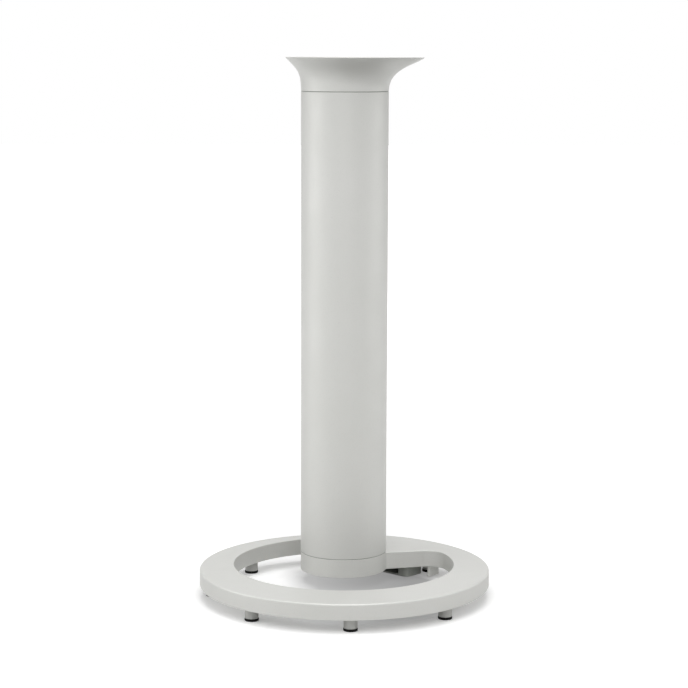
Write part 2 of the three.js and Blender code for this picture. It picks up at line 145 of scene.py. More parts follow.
# ---- mesh helpers ------------------------------------------------------------------------------


def make(name, points, faces):
    """A new object from points in millimetres, with corners merged and faces pointing out."""
    mesh = bpy.data.meshes.new(name)
    mesh.from_pydata([Vector(p) * MM for p in points], [], faces)
    bm = bmesh.new()
    bm.from_mesh(mesh)
    bmesh.ops.remove_doubles(bm, verts=bm.verts, dist=SAME_SPOT)
    bmesh.ops.dissolve_degenerate(bm, edges=bm.edges, dist=NO_LENGTH)
    bmesh.ops.recalc_face_normals(bm, faces=bm.faces)
    bm.to_mesh(mesh)
    bm.free()
    obj = bpy.data.objects.new(name, mesh)
    bpy.context.scene.collection.objects.link(obj)
    return obj


def skin_faces(rows, count, closed, first=0):
    """Quads between neighbouring rings of points."""
    faces = []
    for i in range(rows if closed else rows - 1):
        here, there = first + i * count, first + (i + 1) % rows * count
        for j in range(count):
            k = (j + 1) % count
            faces.append((here + j, here + k, there + k, there + j))
    return faces


def skin(name, rings, closed=False):
    """A body with one skin over a stack of rings."""
    points = [p for ring in rings for p in ring]
    return make(name, points, skin_faces(len(rings), len(rings[0]), closed))


def revolve(name, profile, at=(0.0, 0.0), sides=96):
    """A body of revolution. Its profile runs from axis to axis, or closes on itself."""
    rings = []
    for r, z in profile:
        ring = []
        for i in range(sides):
            a = 2 * math.pi * i / sides
            ring.append((at[0] + r * math.cos(a), at[1] + r * math.sin(a), z))
        rings.append(ring)
    return skin(name, rings, closed=profile[0][0] > 0)


def rounded(corners, closed=True, steps=4):
    """Rounds the corners of a profile. Each corner is (x, y, size of its rounding)."""
    points = []
    for i, (x, y, size) in enumerate(corners):
        corner = Vector((x, y))
        if size <= 0 or (not closed and i in (0, len(corners) - 1)):
            points.append((x, y))
            continue
        before = Vector(corners[i - 1][:2])
        after = Vector(corners[(i + 1) % len(corners)][:2])
        start = corner + (before - corner).normalized() * size
        end = corner + (after - corner).normalized() * size
        for k in range(steps + 1):
            t = k / steps
            p = start * (1 - t) ** 2 + corner * 2 * t * (1 - t) + end * t * t
            points.append((p.x, p.y))
    return points


def arc(center, radius, start, end, step=math.radians(2)):
    """Points on an arc, both ends included."""
    count = max(2, math.ceil(abs(end - start) / step))
    angles = [start + (end - start) * i / count for i in range(count + 1)]
    x, y = center
    return [Vector((x + radius * math.cos(a), y + radius * math.sin(a))) for a in angles]


def outward(outline):
    """The outward direction at each point of a closed outline."""
    area = sum(outline[i - 1].cross(outline[i]) for i in range(len(outline)))
    way = 1 if area > 0 else -1
    directions = []
    for i in range(len(outline)):
        tangent = (outline[(i + 1) % len(outline)] - outline[i - 1]).normalized()
        directions.append(way * Vector((tangent.y, -tangent.x)))
    return directions


def raised(name, outline, bottom, top, edge, steps=3):
    """A convex outline raised from one height to another, with both its edges rounded."""
    directions = outward(outline)
    rings = []
    levels = []
    for i in range(steps + 1):
        a = math.pi / 2 * i / steps
        levels.append((edge * (1 - math.sin(a)), bottom + edge * (1 - math.cos(a))))
    levels += [(inset, bottom + top - z) for inset, z in reversed(levels)]
    for inset, z in levels:
        rings.append([
            (p.x - inset * d.x, p.y - inset * d.y, z) for p, d in zip(outline, directions)
        ])
    count = len(outline)
    faces = skin_faces(len(rings), count, False)
    faces.append(tuple(range(count)))
    faces.append(tuple(range((len(rings) - 1) * count, len(rings) * count)))
    return make(name, [p for ring in rings for p in ring], faces)


def round_rectangle(left, right, front, back, radius):
    """The outline of a rectangle with rounded corners."""
    quarter = math.pi / 2
    step = math.radians(15)
    return [
        *arc((right - radius, front + radius), radius, -quarter, 0, step),
        *arc((right - radius, back - radius), radius, 0, quarter, step),
        *arc((left + radius, back - radius), radius, quarter, 2 * quarter, step),
        *arc((left + radius, front + radius), radius, 2 * quarter, 3 * quarter, step),
    ]


def drum(radius, bottom, top, at, sides=48):
    """A plain round cutter."""
    return revolve("cutter", [(0, bottom), (radius, bottom), (radius, top), (0, top)], at, sides)


def carve(obj, operation, *tools):
    """Cuts or joins tools to an object, and removes them."""
    for tool in tools:
        change = obj.modifiers.new("carve", "BOOLEAN")
        change.operation = operation
        change.solver = "EXACT"
        change.object = tool
        bpy.context.view_layer.update()
        shaped = obj.evaluated_get(bpy.context.evaluated_depsgraph_get())
        mesh = bpy.data.meshes.new_from_object(shaped)
        obj.modifiers.clear()
        obj.data = mesh
        bpy.data.objects.remove(tool)
    return obj


def soften(obj, width, angle=50, segments=2):
    """Rounds the sharp edges that carving left."""
    bevel = obj.modifiers.new("edges", "BEVEL")
    bevel.width = width * MM
    bevel.segments = segments
    bevel.limit_method = "ANGLE"
    bevel.angle_limit = math.radians(angle)
    bevel.use_clamp_overlap = True
    bevel.harden_normals = False
    return obj


def dress(obj, material, slot, *nodes, sharp=32):
    """Shades a piece, gives it its finish and lets it stand for CAD nodes."""
    obj.data.materials.clear()
    obj.data.materials.append(material)
    for face in obj.data.polygons:
        face.use_smooth = True
    obj.data.set_sharp_from_angle(angle=math.radians(sharp))
    weighted = obj.modifiers.new("normals", "WEIGHTED_NORMAL")
    weighted.keep_sharp = True
    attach(obj, "root")
    if nodes:
        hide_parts(*nodes)
    return obj


# ---- finishes ----------------------------------------------------------------------------------


class Finish:
    """A procedural material built node by node."""

    def __init__(self, name):
        self.material = bpy.data.materials.new(name)
        self.material.use_nodes = True
        self.nodes = self.material.node_tree.nodes
        self.links = self.material.node_tree.links
        self.shader = self.nodes["Principled BSDF"]
        self.place = self.nodes.new("ShaderNodeTexCoord").outputs["Object"]

    def set(self, **values):
        """Sets plain values on the shader's own sockets."""
        for name, value in values.items():
            self.shader.inputs[name.replace("_", " ")].default_value = value

    def stretch(self, x, y, z):
        """The object's coordinates, stretched."""
        node = self.nodes.new("ShaderNodeMapping")
        node.inputs["Scale"].default_value = (x, y, z)
        self.links.new(self.place, node.inputs["Vector"])
        return node.outputs["Vector"]

    def noise(self, scale, detail=3.0, roughness=0.5, vector=None):
        """Clouds, with so many of them to a metre."""
        node = self.nodes.new("ShaderNodeTexNoise")
        node.inputs["Scale"].default_value = scale
        node.inputs["Detail"].default_value = detail
        node.inputs["Roughness"].default_value = roughness
        self.links.new(vector or self.place, node.inputs["Vector"])
        return node.outputs["Fac"]

    def cells(self, scale):
        """Distance to the middle of small cells, with so many of them to a metre."""
        node = self.nodes.new("ShaderNodeTexVoronoi")
        node.inputs["Scale"].default_value = scale
        self.links.new(self.place, node.inputs["Vector"])
        return node.outputs["Distance"]

    def spread(self, value, low, high, start=0.3, end=0.7):
        """Maps a texture's middle range to a range of values."""
        node = self.nodes.new("ShaderNodeMapRange")
        node.inputs["From Min"].default_value = start
        node.inputs["From Max"].default_value = end
        node.inputs["To Min"].default_value = low
        node.inputs["To Max"].default_value = high
        self.links.new(value, node.inputs["Value"])
        return node.outputs["Result"]

    def blend(self, factor, first, second):
        """Mixes two colours, or two colour outputs."""
        node = self.nodes.new("ShaderNodeMix")
        node.data_type = "RGBA"
        self.links.new(factor, node.inputs[0])
        for socket, colour in ((node.inputs[6], first), (node.inputs[7], second)):
            if isinstance(colour, tuple):
                socket.default_value = (*colour, 1)
            else:
                self.links.new(colour, socket)
        return node.outputs[2]

    def times(self, first, second):
        """The product of two values."""
        node = self.nodes.new("ShaderNodeMath")
        node.operation = "MULTIPLY"
        self.links.new(first, node.inputs[0])
        self.links.new(second, node.inputs[1])
        return node.outputs["Value"]

    def fade(self, factor, first, second):
        """Mixes two values."""
        node = self.nodes.new("ShaderNodeMix")
        self.links.new(factor, node.inputs[0])
        self.links.new(first, node.inputs[2])
        self.links.new(second, node.inputs[3])
        return node.outputs[0]

    def bump(self, height, strength, depth, below=None):
        """A bump of a real depth in millimetres, over another bump if there is one."""
        node = self.nodes.new("ShaderNodeBump")
        node.inputs["Strength"].default_value = strength
        node.inputs["Distance"].default_value = depth * MM
        self.links.new(height, node.inputs["Height"])
        if below:
            self.links.new(below, node.inputs["Normal"])
        return node.outputs["Normal"]

    def wire(self, **outputs):
        """Joins outputs to the shader's sockets, and hands over the finished material."""
        for name, output in outputs.items():
            self.links.new(output, self.shader.inputs[name.replace("_", " ")])
        return self.material


def powder_paint(name, shade=1.0):
    """Pearl-grey powder coat: metal flakes and a fine grain over a soft orange peel."""
    # A shade below 1 darkens every colour of the coat, which paints shade into it.
    dull, pale, fleck = (
        tuple(shade * v for v in colour)
        for colour in ((0.664, 0.667, 0.640), (0.690, 0.690, 0.668), (0.585, 0.590, 0.565))
    )
    f = Finish(name)
    f.set(Metallic=0.25, IOR=1.45, Specular_IOR_Level=0.35)
    f.set(Specular_Tint=(0.7, 0.7, 0.7, 1))
    tone = f.blend(f.spread(f.noise(7, 4, 0.6), 0, 1), dull, pale)
    flecks = f.spread(f.noise(900, 2, 0.5), 0, 0.5, 0.55, 0.8)
    colour = f.blend(flecks, tone, fleck)
    peel = f.bump(f.noise(260, 2, 0.4), 0.3, 0.03)
    grain = f.bump(f.noise(1500, 3, 0.6), 0.35, 0.02, peel)
    return f.wire(Base_Color=colour, Roughness=f.spread(f.noise(40, 3), 0.42, 0.52), Normal=grain)


def moulded_plastic():
    """Mid-grey moulded plastic with a spark-eroded grain."""
    f = Finish("moulded_plastic")
    f.set(Metallic=0.0, IOR=1.5)
    clouds = f.spread(f.noise(30, 4, 0.6), 0, 1)
    colour = f.blend(clouds, (0.310, 0.324, 0.301), (0.350, 0.366, 0.340))
    grain = f.bump(f.cells(1400), 0.4, 0.03, f.bump(f.noise(500, 3), 0.3, 0.02))
    return f.wire(Base_Color=colour, Roughness=f.spread(f.noise(120, 3), 0.5, 0.68), Normal=grain)


def black_rubber():
    """Moulded black rubber, slightly dusty."""
    f = Finish("black_rubber")
    f.set(Metallic=0.0, IOR=1.5, Specular_IOR_Level=0.15)
    dust = f.spread(f.noise(160, 5, 0.7), 0, 0.6, 0.5, 0.9)
    colour = f.blend(dust, (0.0035, 0.0035, 0.0035), (0.011, 0.011, 0.010))
    pores = f.bump(f.noise(1100, 3, 0.6), 0.5, 0.03)
    return f.wire(Base_Color=colour, Roughness=f.spread(f.noise(220, 3), 0.55, 0.8), Normal=pores)


def turned_steel():
    """Zinc-plated steel with fine turning marks round the vertical."""
    f = Finish("turned_steel")
    f.set(Metallic=1.0)
    colour = f.blend(f.spread(f.noise(90, 4), 0, 1), (0.52, 0.52, 0.51), (0.63, 0.63, 0.61))
    marks = f.noise(60, 4, 0.7, f.stretch(1, 1, 90))
    grain = f.bump(marks, 0.25, 0.01)
    return f.wire(Base_Color=colour, Roughness=f.spread(f.noise(300, 2), 0.26, 0.42), Normal=grain)


def wool_felt():
    """Dark grey pressed felt with short crossing fibres."""
    f = Finish("wool_felt")
    f.set(Metallic=0.0, Sheen_Weight=0.25, Sheen_Roughness=0.5)
    one = f.noise(900, 4, 0.7, f.stretch(1, 0.25, 1))
    two = f.noise(900, 4, 0.7, f.stretch(0.25, 1, 1))
    fibres = f.blend(f.spread(f.noise(350, 2), 0, 1), one, two)
    tufts = f.noise(60, 3, 0.6)
    shade = f.blend(f.spread(fibres, 0, 1), (0.048, 0.050, 0.049), (0.105, 0.108, 0.104))
    colour = f.blend(f.spread(tufts, 0, 0.35), shade, (0.070, 0.073, 0.070))
    nap = f.bump(fibres, 0.8, 0.25, f.bump(tufts, 0.4, 0.4))
    return f.wire(Base_Color=colour, Roughness=f.spread(fibres, 0.85, 1.0), Normal=nap)


PAINT = powder_paint("powder_paint")
# The pillars' coat is the powder coat made darker: partly a darker grey than the plate's, partly
# painted shade for their place under the plate's overhang.
DARKER_SHADED_PILLAR_PAINT = powder_paint("darker_shaded_pillar_paint", 0.70)
PLASTIC = moulded_plastic()
RUBBER = black_rubber()
STEEL = turned_steel()
FELT = wool_felt()


# ---- foot plate --------------------------------------------------------------------------------


def plate_top(x, y):
    """Height of the plate's crowned top."""
    return RIM_TOP + PLATE_CROWN * (1 - (x * x + y * y) / PLATE_RADIUS**2)


def fan_wall(side, rim_fillet):
    """One straight wall of the fan, and the fillets at its two ends."""
    turn = -1 if side.dot(FAN_SIDE) > 0 else 1
    along = FAN_DIRECTION.copy()
    along.rotate(Matrix.Rotation(turn * FAN_HALF_ANGLE, 2))
    out = Vector((-turn * along.y, turn * along.x))
    start = AXIS + out * FAN_HALF_WIDTH
    opening = Vector((0, OPENING_OFFSET))

    def fillet_center(radius, circle, distance):
        base = start + out * radius
        rel = base - circle
        half = rel.dot(along)
        return base + along * (-half + math.sqrt(half * half - rel.length_squared + distance**2))

    rim = fillet_center(rim_fillet, opening, OPENING_RADIUS - rim_fillet)
    root = fillet_center(ROOT_FILLET, AXIS, COLUMN_RADIUS + ROOT_FILLET)
    return {
        "rim": rim,
        "root": root,
        "wall": math.atan2(-out.y, -out.x),
        "opening": math.atan2(rim.y - opening.y, rim.x - opening.x),
        "boss": math.atan2(root.y - AXIS.y, root.x - AXIS.x),
    }


def opening_outline():
    """The crescent opening. Its side along the boss lies just inside the boss."""
    front = fan_wall(FAN_SIDE, RIM_FILLET)
    tail = fan_wall(-FAN_SIDE, TAIL_FILLET)
    opening = (0, OPENING_OFFSET)
    full = 2 * math.pi
    fine = math.radians(6)
    hidden = COLUMN_RADIUS - 0.6
    step = math.radians(2)
    return [
        *arc(front["rim"], RIM_FILLET, front["wall"], front["opening"]),
        *arc(opening, OPENING_RADIUS, front["opening"], tail["opening"] - full)[1:-1],
        *arc(tail["rim"], TAIL_FILLET, tail["opening"], tail["wall"]),
        *arc(tail["root"], ROOT_FILLET, tail["wall"], tail["boss"] - math.pi, fine),
        *arc(AXIS, hidden, tail["boss"] + step, front["boss"] + full - step, step),
        *arc(front["root"], ROOT_FILLET, front["boss"] + math.pi, front["wall"], fine),
    ]


def inside(point, outline):
    """Whether a point lies in a closed outline."""
    found = False
    x, y = point
    for i, b in enumerate(outline):
        a = outline[i - 1]
        if (a.y > y) != (b.y > y) and x < (b.x - a.x) * (y - a.y) / (b.y - a.y) + a.x:
            found = not found
    return found


def sheet_between(rim, hole, height, pitch):
    """Points and triangles of the sheet between two outlines, over a fine grid of rings."""
    grid = []
    reach = rim[0].length
    for i in range(1, int(reach / pitch)):
        radius = i * pitch
        count = max(12, round(2 * math.pi * radius / pitch))
        for j in range(count):
            a = 2 * math.pi * (j + i % 2 / 2) / count
            p = Vector((radius * math.cos(a), radius * math.sin(a)))
            if radius < reach - pitch / 2 and not inside(p, hole):
                if min((p - q).length_squared for q in hole) > (pitch / 2) ** 2:
                    grid.append(p)
    flat = [*rim, *hole, *grid]
    edges = [(i, (i + 1) % len(rim)) for i in range(len(rim))]
    edges += [(len(rim) + i, len(rim) + (i + 1) % len(hole)) for i in range(len(hole))]
    points, _, triangles = delaunay_2d_cdt(flat, edges, [], 0, 1e-5)[:3]
    kept = []
    for triangle in triangles:
        center = sum((points[i] for i in triangle), Vector((0, 0))) / 3
        if not inside(center, hole):
            kept.append(triangle)
    return [(p.x, p.y, height(p.x, p.y)) for p in points], kept


def foot_plate_ring():
    """The crowned ring and its fan, with rounded edges all round."""
    hole = opening_outline()
    into = [-d for d in outward(hole)]
    sides, steps, pitch = 240, 4, 9.0
    turns = [2 * math.pi * i / sides for i in range(sides)]
    rim = [Vector((math.cos(a), math.sin(a))) for a in turns]
    small_break = EDGE_BREAK * 0.3

    def rim_ring(radius, z):
        return [(p.x * radius, p.y * radius, z) for p in rim]

    rim_rings = [
        rim_ring(PLATE_RADIUS - EDGE_BREAK, PLATE_BOTTOM),
        rim_ring(PLATE_RADIUS - small_break, PLATE_BOTTOM + small_break),
        rim_ring(PLATE_RADIUS, PLATE_BOTTOM + EDGE_BREAK),
        rim_ring(PLATE_RADIUS, (PLATE_BOTTOM + RIM_TOP) / 2),
    ]
    for i in range(steps + 1):
        a = math.pi / 2 * i / steps
        inset = TOP_ROUNDING * (1 - math.cos(a))
        z = RIM_TOP - TOP_ROUNDING + TOP_ROUNDING * math.sin(a)
        rim_rings.append(rim_ring(PLATE_RADIUS - inset, z))
    top_rim = [Vector(p[:2]) for p in rim_rings[-1]]
    rim_rings[-1] = [(p.x, p.y, plate_top(p.x, p.y)) for p in top_rim]

    def hole_ring(inset, level):
        ring = []
        for p, d in zip(hole, into):
            q = p - d * inset
            ring.append((q.x, q.y, level(q.x, q.y)))
        return ring

    hole_rings = [
        hole_ring(EDGE_BREAK, lambda x, y: PLATE_BOTTOM),
        hole_ring(small_break, lambda x, y: PLATE_BOTTOM + small_break),
        hole_ring(0, lambda x, y: PLATE_BOTTOM + EDGE_BREAK),
    ]
    for i in range(steps + 1):
        a = math.pi / 2 * i / steps
        inset = EDGE_BREAK * (1 - math.cos(a))
        drop = EDGE_BREAK * (1 - math.sin(a))
        hole_rings.append(hole_ring(inset, lambda x, y: plate_top(x, y) - drop))

    points = [p for ring in rim_rings for p in ring]
    faces = skin_faces(len(rim_rings), len(rim), False)
    faces += skin_faces(len(hole_rings), len(hole), False, len(points))
    points += [p for ring in hole_rings for p in ring]
    for rim_edge, hole_edge, height in (
        (rim_rings[-1], hole_rings[-1], plate_top),
        (rim_rings[0], hole_rings[0], lambda x, y: PLATE_BOTTOM),
    ):
        outer = [Vector(p[:2]) for p in rim_edge]
        inner = [Vector(p[:2]) for p in hole_edge]
        sheet, triangles = sheet_between(outer, inner, height, pitch)
        faces += [tuple(i + len(points) for i in t) for t in triangles]
        points += sheet
    return make("foot_plate_fine", points, faces)


def foot_plate_boss():
    """The boss that carries the column."""
    return revolve("foot_plate_boss", rounded([
        (0, PLATE_BOTTOM, 0),
        (COLUMN_RADIUS, PLATE_BOTTOM, EDGE_BREAK),
        (COLUMN_RADIUS, BOSS_TOP, TUBE_BREAK),
        (0, BOSS_TOP, 0),
    ], closed=False), AXIS, sides=192)


def bore_from_below(radius, top, at):
    """A round cutter that also breaks the edge of its hole in the plate's underside."""
    mouth = radius + EDGE_BREAK
    return revolve("cutter", [
        (0, PLATE_BOTTOM - CUT_PAST),
        (mouth, PLATE_BOTTOM - CUT_PAST),
        (mouth, PLATE_BOTTOM),
        (radius, PLATE_BOTTOM + EDGE_BREAK),
        (radius, top),
        (0, top),
    ], at, sides=72)


def foot_plate():
    """Ring, fan and boss in one skin, with the nut's pocket, the rod's hole and the cable hole."""
    plate = carve(foot_plate_ring(), "UNION", foot_plate_boss())
    return carve(
        plate,
        "DIFFERENCE",
        bore_from_below(NUT_POCKET_RADIUS, PLATE_BOTTOM + NUT_POCKET_DEPTH, AXIS),
        bore_from_below(CABLE_HOLE_RADIUS, BOSS_TOP + CUT_PAST, CABLE_HOLE),
        drum(ROD_RADIUS + FIT, PLATE_BOTTOM - CUT_PAST, BOSS_TOP + CUT_PAST, AXIS),
    )


dress(foot_plate(), PAINT, "paint", "foot_plate", sharp=50)


# ---- column ------------------------------------------------------------------------------------


def column_tube():
    """The steel tube, with its end edges broken."""
    bore = COLUMN_RADIUS - TUBE_WALL
    return revolve("column_tube_fine", rounded([
        (bore, tube_low.z, TUBE_BREAK),
        (COLUMN_RADIUS, tube_low.z, TUBE_BREAK),
        (COLUMN_RADIUS, tube_high.z, TUBE_BREAK),
        (bore, tube_high.z, TUBE_BREAK),
    ]), AXIS, sides=256)


def tube_plug(name, seat, inward):
    """A plug whose recessed flange shows as the dark seam."""
    skirt = COLUMN_RADIUS - TUBE_WALL - FIT
    hole = ROD_RADIUS + FIT
    web, depth, wall = 7.0, 26.0, 5.0
    plug = revolve(name, rounded([
        (hole, seat, 0.2),
        (COLUMN_RADIUS - SEAM_DEPTH, seat, 0.15),
        (COLUMN_RADIUS - SEAM_DEPTH, seat + inward * SEAM_GAP, 0.15),
        (skirt, seat + inward * SEAM_GAP, 0.1),
        (skirt, seat + inward * depth, 1.0),
        (skirt - wall, seat + inward * depth, 1.0),
        (skirt - wall, seat + inward * web, 2.0),
        (hole, seat + inward * web, 0.5),
    ]), AXIS, sides=144)
    ends = sorted((seat - inward * CUT_PAST, seat + inward * (web + CUT_PAST)))
    return carve(plug, "DIFFERENCE", drum(CABLE_HOLE_RADIUS, *ends, CABLE_HOLE))


dress(column_tube(), PAINT, "paint", "column_tube")
dress(tube_plug("lower_plug_fine", BOSS_TOP, 1), PLASTIC, "grey_plastic", "lower_tube_plug")
dress(tube_plug("upper_plug_fine", CRADLE_BOTTOM, -1), PLASTIC, "grey_plastic", "upper_tube_plug")


# ---- cradle ------------------------------------------------------------------------------------


def growth(pull, share):
    """How far a flare line has grown at a share of the cradle's height."""
    (x1, y1), (x2, y2) = pull
    low, high = 0.0, 1.0
    for _ in range(40):
        t = (low + high) / 2
        height = 3 * t * (1 - t) ** 2 * y1 + 3 * t * t * (1 - t) * y2 + t**3
        low, high = (t, high) if height < share else (low, t)
    return 3 * low * (1 - low) ** 2 * x1 + 3 * low * low * (1 - low) * x2 + low**3


def section(z):
    """Half length, half width and drift of the flare at a height."""
    share = min(1.0, max(0.0, (z - CRADLE_BOTTOM) / CRADLE_HEIGHT))
    long = FLARE_LONG * growth(LONG_PULL, share)
    short = FLARE_SHORT * growth(SHORT_PULL, share)
    side = FLARE_SIDE * growth(SHORT_PULL, share)
    return COLUMN_RADIUS + (long + short) / 2, COLUMN_RADIUS + side, (long - short) / 2


def dish(z):
    """The same for the dish, whose wall thins towards the rim."""
    a, b, drift = section(z)
    wall = RIM_LIP + (DISH_WALL - RIM_LIP) * (RIM_PLANE - z) / DISH_DEPTH
    return a - wall, b - wall, drift


def ellipse(a, b, drift, z, inset=0.0, sides=192):
    """A ring of points round the cradle's section."""
    cos, sin = math.cos(FLARE_TURN), math.sin(FLARE_TURN)
    ring = []
    for i in range(sides):
        t = 2 * math.pi * i / sides
        x, y = drift + (a - inset) * math.cos(t), (b - inset) * math.sin(t)
        ring.append((AXIS.x + x * cos - y * sin, AXIS.y + x * sin + y * cos, z))
    return ring


def cradle():
    """The flare, its rounded rim and its dish, in one skin."""
    flare_rows, nose_steps, dish_rows = 30, 8, 10
    nose = RIM_NOSE
    base = section(CRADLE_BOTTOM)
    rings = [
        ellipse(0, 0, 0, CRADLE_BOTTOM),
        ellipse(*base, CRADLE_BOTTOM, TUBE_BREAK),
        ellipse(*base, CRADLE_BOTTOM + TUBE_BREAK * 0.3, TUBE_BREAK * 0.3),
    ]
    for i in range(1, flare_rows + 1):
        share = math.sin(i / flare_rows * math.pi / 2)
        z = CRADLE_BOTTOM + TUBE_BREAK + (CRADLE_HEIGHT - TUBE_BREAK - nose) * share
        rings.append(ellipse(*section(z), z))
    outer, inner = section(RIM_PLANE - nose), dish(RIM_PLANE - nose)
    for i in range(1, nose_steps):
        swing = math.pi * (i / nose_steps)
        mix = (1 - math.cos(swing)) / 2
        a, b, drift = (o + (n - o) * mix for o, n in zip(outer, inner))
        rings.append(ellipse(a, b, drift, RIM_PLANE - nose + nose * math.sin(swing)))
    for i in range(dish_rows + 1):
        z = RIM_PLANE - nose - (DISH_DEPTH - nose) * i / dish_rows
        rings.append(ellipse(*dish(z), z))
    rings.append(ellipse(0, 0, dish(DISH_FLOOR)[2], DISH_FLOOR))
    low, high = CRADLE_BOTTOM - CUT_PAST, DISH_FLOOR + CUT_PAST
    return carve(
        skin("cradle_fine", rings),
        "DIFFERENCE",
        drum(ROD_RADIUS + FIT, low, high, AXIS),
        drum(NUT_POCKET_RADIUS, DISH_FLOOR - NUT_POCKET_DEPTH, high, AXIS),
        drum(CABLE_HOLE_RADIUS, low, high, CABLE_HOLE),
    )


def cradle_pad():
    """A moulded felt liner: its floor is slightly crowned, and its edge and its foot are soft."""
    rows, edge_steps, foot_steps = 6, 8, 6
    foot = DISH_FLOOR + PAD_THICKNESS
    foot_reach = 4.0
    foot_rise = foot_reach * 0.6
    edge = RIM_PLANE - PAD_MARGIN - PAD_THICKNESS / 2
    rings = [ellipse(0, 0, dish(DISH_FLOOR)[2], DISH_FLOOR + PAD_GAP)]
    for i in range(rows + 1):
        z = DISH_FLOOR + PAD_GAP + (edge - DISH_FLOOR) * i / rows
        rings.append(ellipse(*dish(z), z, FIT))
    outer = dish(edge)
    for i in range(1, edge_steps):
        swing = math.pi * i / edge_steps
        inset = FIT + PAD_THICKNESS * (1 - math.cos(swing)) / 2
        rings.append(ellipse(*outer, edge + PAD_THICKNESS / 2 * math.sin(swing), inset))
    for i in range(rows + 1):
        z = edge - (edge - foot - foot_rise) * i / rows
        rings.append(ellipse(*dish(z), z, FIT + PAD_THICKNESS))
    a, b, drift = dish(foot + foot_rise)
    for i in range(1, foot_steps + 1):
        swing = math.pi / 2 * i / foot_steps
        inset = FIT + PAD_THICKNESS + foot_reach * (1 - math.cos(swing))
        z = foot - PAD_CROWN + (foot_rise + PAD_CROWN) * (1 - math.sin(swing))
        rings.append(ellipse(a, b, drift, z, inset))
    flat_a, flat_b = (v - FIT - PAD_THICKNESS - foot_reach for v in (a, b))
    for share in (0.92, 0.8, 0.6, 0.4, 0.2, 0.0):
        z = foot - PAD_CROWN * share * share
        rings.append(ellipse(flat_a * share, flat_b * share, drift, z))
    hole = drum(CABLE_HOLE_RADIUS, DISH_FLOOR - CUT_PAST, RIM_PLANE, CABLE_HOLE)
    return carve(skin("cradle_pad_felt", rings), "DIFFERENCE", hole)


dress(cradle(), PAINT, "paint", "cradle", sharp=50)
soft_pad = soften(cradle_pad(), width=0.7, angle=60, segments=3)
pad = dress(soft_pad, FELT, "felt", "cradle_pad", sharp=60)


# ---- feet --------------------------------------------------------------------------------------


def foot_pillar():
    """A round pillar with its screw's hole, and a recess below for the tread's nub."""
    return revolve("foot_pillar", rounded([
        (TREAD_RECESS_RADIUS, TREAD_TOP, 0.3),
        (PILLAR_RADIUS, TREAD_TOP, 0.7),
        (PILLAR_RADIUS, PLATE_BOTTOM, 0.3),
        (PILLAR_HOLE_RADIUS, PLATE_BOTTOM, 0),
        (PILLAR_HOLE_RADIUS, TREAD_TOP + TREAD_RECESS_DEPTH, 0),
        (TREAD_RECESS_RADIUS, TREAD_TOP + TREAD_RECESS_DEPTH, 0),
    ]), sides=64)


def foot_tread():
    """A rubber tread with a soft edge and two grip grooves below."""
    mouth, bed = 0.5, 0.3
    corners = [(0, 0, 0)]
    for radius in TREAD_GROOVES:
        corners += [
            (radius - mouth, 0, 0.15),
            (radius - bed, TREAD_GROOVE_DEPTH, 0.1),
            (radius + bed, TREAD_GROOVE_DEPTH, 0.1),
            (radius + mouth, 0, 0.15),
        ]
    corners += [
        (TREAD_RADIUS, 0, 0.9),
        (TREAD_RADIUS, TREAD_TOP, 0.5),
        (TREAD_NUB_RADIUS, TREAD_TOP, 0.1),
        (TREAD_NUB_RADIUS, TREAD_TOP + TREAD_NUB_HEIGHT, 0.4),
        (0, TREAD_TOP + TREAD_NUB_HEIGHT, 0),
    ]
    return revolve("foot_tread", rounded(corners, closed=False), sides=64)


def set_down(name, mesh, at):
    """Another copy of a mesh, moved in the plan."""
    copy = mesh.copy()
    copy.transform(Matrix.Translation((at.x * MM, at.y * MM, 0)))
    obj = bpy.data.objects.new(name, copy)
    bpy.context.scene.collection.objects.link(obj)
    return obj


def middle(node):
    """The middle of a CAD node's box."""
    low, high = in_mm(node)
    return (low + high) / 2


def feet():
    """Eight feet, each a pillar and a tread, where the CAD part has them."""
    pillar, tread = foot_pillar(), foot_tread()
    for i in range(1, 9):
        at = middle(f"foot_pillar_{i}")
        one = set_down(f"pillar_{i}", pillar.data, at)
        # Each pillar takes the darker coat, with its painted shade.
        dress(one, DARKER_SHADED_PILLAR_PAINT, "paint", f"foot_pillar_{i}")
        two = set_down(f"tread_{i}", tread.data, at)
        dress(two, RUBBER, "rubber", f"foot_tread_{i}")
    for source in (pillar, tread):
        bpy.data.objects.remove(source)


feet()


# ---- cable box and clip ------------------------------------------------------------------------

BOX_START = 60.0
BOX_LENGTH = 32.0
BOX_FRONT = -52.6
BOX_BACK = 36.0
BOX_HEIGHT = 14.4
BOX_WALL = 2.4
BOX_CORNER = 6.0
MOUTH_INSET = 13.8
MOUTH_WIDTH = 29.0
MOUTH_HEIGHT = 8.0
POST_RADIUS = 5.5
SCREW_RADIUS = 1.75
SCREW_HEAD = 3.4
SCREW_HEAD_HEIGHT = 2.0
SCREW_LENGTH = 19.0
SOCKET_RADIUS = 1.7
SOCKET_DEPTH = 1.2
CLIP_START = 80.0
CLIP_LENGTH = 20.0
CLIP_OFFSET = -72.5
CLIP_WALL = 4.0
CLIP_NOSE = 1.9
CLIP_HEIGHT = 13.4
CLIP_REACH = 14.0
CLIP_FLANGE = 3.0


def on_fan(obj):
    """Turns a piece drawn along the fan, from the column's axis, into its place."""
    turn = Matrix.Translation((AXIS.x * MM, AXIS.y * MM, 0)) @ Matrix.Rotation(FAN_TURN, 4, "Z")
    obj.data.transform(turn)
    return obj


def box_spots():
    """The places of the box's four screw posts."""
    inset = POST_RADIUS + BOX_WALL / 2
    return [
        (x, y)
        for x in (BOX_START + inset, BOX_START + BOX_LENGTH - inset)
        for y in (BOX_BACK - inset, BOX_FRONT + inset)
    ]


